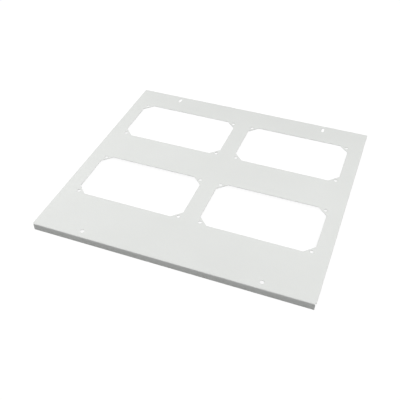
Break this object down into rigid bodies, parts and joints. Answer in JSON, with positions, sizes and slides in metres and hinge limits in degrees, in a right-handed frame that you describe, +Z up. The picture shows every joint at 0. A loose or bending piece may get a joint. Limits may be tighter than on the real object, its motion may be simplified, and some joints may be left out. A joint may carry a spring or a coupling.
{
  "type": "cable entry plate",
  "caption": "Folded sheet-steel cable entry plate for a cabinet: rectangular chamfered cut-outs with screw holes for gland plates, fixing holes and slots, front edge folded down.",
  "frame": {"origin": "under the centre of the plate, level with the lower rim of the folded edge", "axes": "+X to the right along the width, +Y from the folded edge to the back edge with the slots, +Z up"},
  "size_m": [0.6, 0.565, 0.016],
  "materials": {
    "powder_coated_steel": "light grey powder coat with a fine texture, satin"
  },
  "bodies": {
    "root": {"entry_plate": "powder_coated_steel"}
  },
  "joints": []
}
